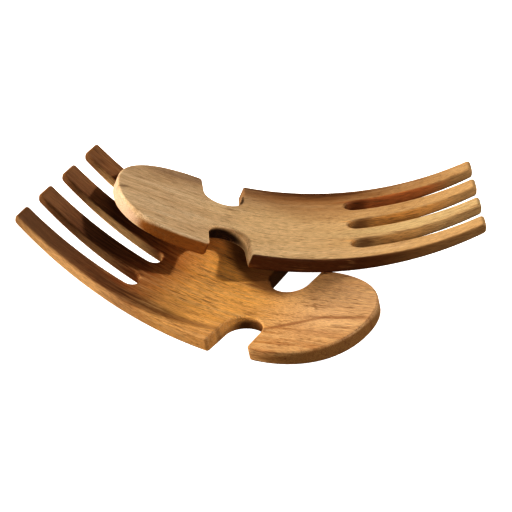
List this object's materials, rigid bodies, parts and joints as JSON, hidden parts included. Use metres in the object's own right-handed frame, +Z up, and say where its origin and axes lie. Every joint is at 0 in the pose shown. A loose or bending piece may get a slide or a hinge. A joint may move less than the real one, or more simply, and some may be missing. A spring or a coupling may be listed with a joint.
{
  "type": "salad hands",
  "caption": "Pair of wooden salad hands, one laid across the other, each with a flat palm grip, a notched waist and a curved body ending in tines.",
  "frame": {"origin": "on the table top, under the middle of the pair's bounding box", "axes": "+Z up from the table, +X the way the upper hand points, from its grip to its tines, and +Y to the left of it"},
  "size_m": [0.3252, 0.2102, 0.0608],
  "materials": {
    "lower_acacia": "oiled satin, reddish golden brown with darker streaks",
    "upper_acacia": "oiled satin, pale tan sapwood with brown streaks"
  },
  "bodies": {
    "lower_hand": {"lower_salad_hand": "lower_acacia"},
    "upper_hand": {"upper_salad_hand": "upper_acacia"}
  },
  "joints": [
    {"name": "upper_hand_lift", "type": "slide", "parent": "lower_hand", "child": "upper_hand", "axis": [0, 0, 1], "range_m": [0, 0.15]}
  ]
}
